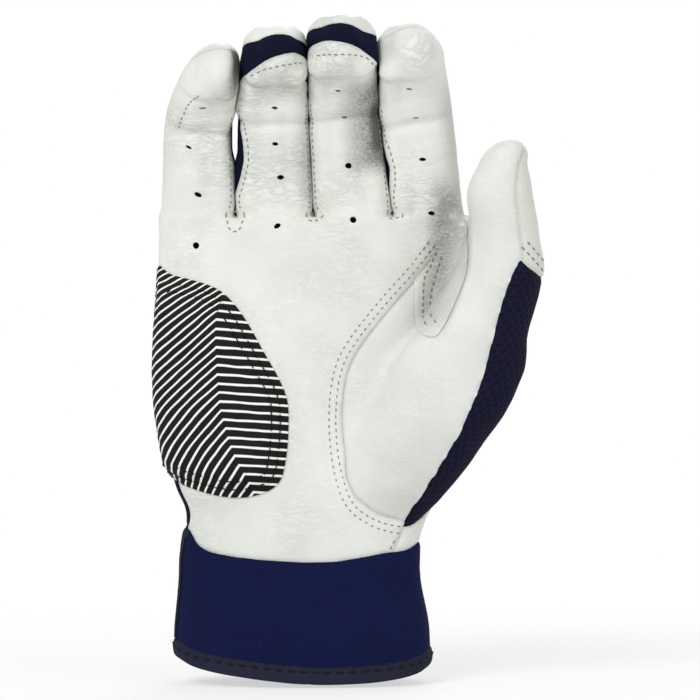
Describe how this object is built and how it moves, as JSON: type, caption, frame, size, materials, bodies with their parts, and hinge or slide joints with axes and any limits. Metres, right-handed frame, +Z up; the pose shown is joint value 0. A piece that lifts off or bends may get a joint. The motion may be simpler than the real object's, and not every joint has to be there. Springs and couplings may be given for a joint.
{
  "type": "batting glove",
  "caption": "Right-hand sports glove with a leather palm, knit cuff, padded heel patch, mesh back and a hook-and-loop wrist strap, shown filled out as on a hand.",
  "frame": {"origin": "the middle of the glove's footprint, at the height of the cuff's hem", "axes": "+Z up along the fingers, -Y out of the palm, +X towards the thumb"},
  "size_m": [0.1226, 0.0554, 0.2088],
  "materials": {
    "white_leather": "soft white sheep leather with a fine grain and stitched seams",
    "navy_mesh": "dark navy stretch mesh with a small honeycomb of holes",
    "navy_knit": "navy woven elastic with fine upright ribs",
    "dark_tape": "dark folded tape with a row of stitches",
    "black_patch": "black synthetic leather with printed white chevron lines",
    "grey_foam": "grey open-cell foam",
    "black_fastener": "black hook-and-loop pile",
    "black_rubber": "matt black moulded rubber with grip ribs"
  },
  "bodies": {
    "hand": {"palm_leather": "white_leather", "thenar_leather": "white_leather", "thumb_back_mesh": "navy_mesh", "back_of_hand_mesh": "navy_mesh", "knuckle_flex_panel": "navy_knit", "gusset_web_little_ring": "navy_mesh", "gusset_web_ring_middle": "navy_mesh", "gusset_web_middle_index": "navy_mesh", "wrist_cuff": "navy_knit", "cuff_back_panel": "navy_knit", "cuff_bottom_binding": "dark_tape", "cuff_back_binding": "dark_tape", "cuff_slit_binding": "dark_tape", "loop_patch": "black_fastener", "strap_root": "dark_tape", "heel_pad_foam": "grey_foam", "heel_pad_cover": "black_patch", "thumb_crotch_patch": "white_leather"},
    "little_finger": {"little_front_leather": "white_leather", "little_gusset_strip": "navy_mesh", "little_back_leather": "white_leather"},
    "ring_finger": {"ring_front_leather": "white_leather", "ring_gusset_strip": "navy_mesh", "ring_back_leather": "white_leather"},
    "middle_finger": {"middle_front_leather": "white_leather", "middle_gusset_strip": "navy_mesh", "middle_back_leather": "white_leather"},
    "index_finger": {"index_front_leather": "white_leather", "index_gusset_strip": "navy_mesh", "index_back_leather": "white_leather"},
    "thumb_tip": {"thumb_front_leather": "white_leather", "thumb_tip_cap": "white_leather"},
    "strap": {"closure_strap": "navy_knit", "hook_patch": "black_fastener", "pull_tab": "black_rubber"}
  },
  "joints": [
    {"name": "little_flex", "type": "hinge", "parent": "hand", "child": "little_finger", "pos_m": [-0.04705, -0.0011, 0.15025], "axis": [1, 0, -0.0052], "range_deg": [0, 70]},
    {"name": "ring_flex", "type": "hinge", "parent": "hand", "child": "ring_finger", "pos_m": [-0.02258, -0.0016, 0.15025], "axis": [0.9997, 0, 0.0262], "range_deg": [0, 70]},
    {"name": "middle_flex", "type": "hinge", "parent": "hand", "child": "middle_finger", "pos_m": [0.00166, -0.00185, 0.15023], "axis": [0.9962, 0, 0.0872], "range_deg": [0, 70]},
    {"name": "index_flex", "type": "hinge", "parent": "hand", "child": "index_finger", "pos_m": [0.02557, -0.0016, 0.15021], "axis": [0.9914, 0, 0.1305], "range_deg": [0, 70]},
    {"name": "thumb_flex", "type": "hinge", "parent": "hand", "child": "thumb_tip", "pos_m": [0.048, -0.0272, 0.1352], "axis": [1, 0, 0], "range_deg": [0, 22]},
    {"name": "strap_open", "type": "hinge", "parent": "hand", "child": "strap", "pos_m": [0.0132, 0.0252, 0.0215], "axis": [0, 0, -1], "range_deg": [0, 150]}
  ]
}
